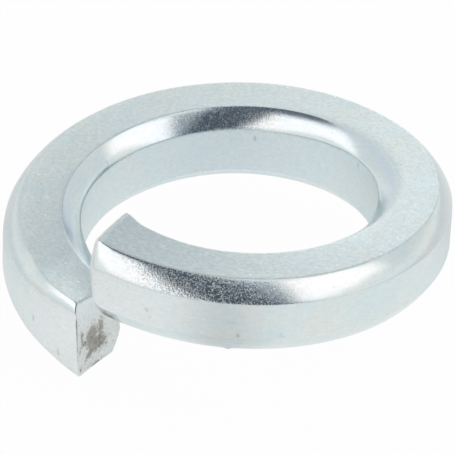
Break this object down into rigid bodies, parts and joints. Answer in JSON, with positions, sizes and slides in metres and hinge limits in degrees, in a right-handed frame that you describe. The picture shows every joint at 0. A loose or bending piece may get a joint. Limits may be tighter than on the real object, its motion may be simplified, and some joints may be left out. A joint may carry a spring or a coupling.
{
  "type": "split spring lock washer",
  "caption": "Split spring lock washer: square-section steel wire coiled into a left-hand helical ring with slanted cut ends; sits under a screw head or nut and resists loosening.",
  "frame": {"origin": "on the hole's axis, level with the lowest point of the lower cut end", "axes": "+Z along the hole's axis, from the lower cut end towards the raised one; -Y faces the viewer of the picture, with the split at the front left"},
  "size_m": [0.0092, 0.0092, 0.0034],
  "materials": {
    "zinc_plated_steel": "satin blue-white zinc plate, glossy on the rounded corners"
  },
  "bodies": {
    "root": {"split_ring": "zinc_plated_steel"}
  },
  "joints": []
}
